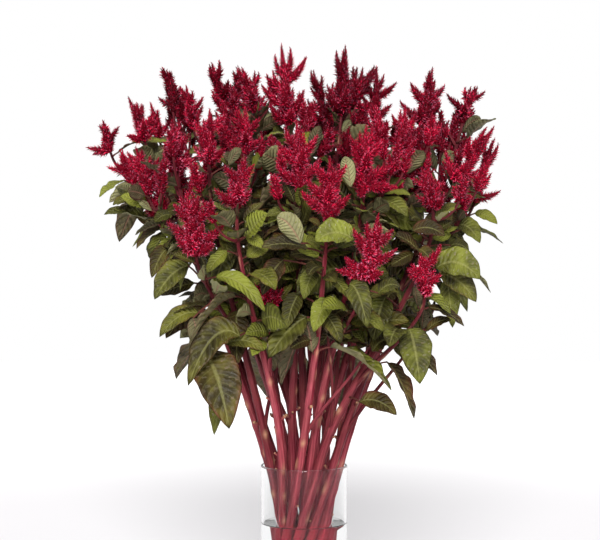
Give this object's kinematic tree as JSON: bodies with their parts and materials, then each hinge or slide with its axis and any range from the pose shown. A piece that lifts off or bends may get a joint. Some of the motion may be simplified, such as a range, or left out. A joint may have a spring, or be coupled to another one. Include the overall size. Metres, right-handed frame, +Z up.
{
  "type": "bunch of wheat celosia in a glass vase",
  "caption": "Dense bunch of crimson plumed celosia with long spiky heads, waved green leaves and pink stems, standing in a clear cylinder vase of water.",
  "frame": {"origin": "centre of the vase's foot, on the surface that it stands on", "axes": "+Z up along the vase, -Y towards the front of the bunch, +X to its right as seen from the front"},
  "size_m": [0.479, 0.4046, 0.686],
  "materials": {
    "glass": "clear",
    "water": "clear",
    "stem_and_leaf": "satin",
    "flower": "velvety"
  },
  "bodies": {
    "root": {"vase": "glass", "water": "water", "stem_right_low": "stem_and_leaf", "stem_right_high": "stem_and_leaf", "stem_back_right": "stem_and_leaf", "stem_back_mid": "stem_and_leaf", "stem_back_left": "stem_and_leaf", "stem_left_high": "stem_and_leaf", "stem_left_wing": "stem_and_leaf", "stem_left_inner": "stem_and_leaf", "stem_left_front": "stem_and_leaf", "stem_front_left": "stem_and_leaf", "stem_front_mid": "stem_and_leaf", "stem_front_right": "stem_and_leaf", "stem_right_inner": "stem_and_leaf", "stem_tall_right": "stem_and_leaf", "stem_left_tall": "stem_and_leaf", "stem_left_centre": "stem_and_leaf", "stem_front_centre": "stem_and_leaf", "stem_centre_right": "stem_and_leaf", "stem_tall_left": "stem_and_leaf", "head_right_low": "flower", "head_right_high": "flower", "head_back_right": "flower", "head_back_mid": "flower", "head_back_left": "flower", "head_left_high": "flower", "head_left_wing": "flower", "head_left_inner": "flower", "head_left_front": "flower", "head_front_left": "flower", "head_front_mid": "flower", "head_front_right": "flower", "head_right_inner": "flower", "head_tall_right": "flower", "head_left_tall": "flower", "head_left_centre": "flower", "head_front_centre": "flower", "head_centre_right": "flower", "head_tall_left": "flower", "head_right_hip": "flower", "head_right_edge": "flower", "head_right_bud": "flower", "head_back_right_low": "flower", "head_back_low": "flower", "head_back_right_mid": "flower", "head_left_top": "flower", "head_left_edge": "flower", "head_left_hip": "flower", "head_left_low": "flower", "head_left_ball": "flower", "head_low_dark": "flower", "head_front_ball": "flower", "head_right_ball": "flower", "head_right_mid": "flower", "head_centre_mid": "flower", "head_centre_top": "flower", "head_left_spire": "flower", "head_left_shoulder": "flower"}
  },
  "joints": []
}
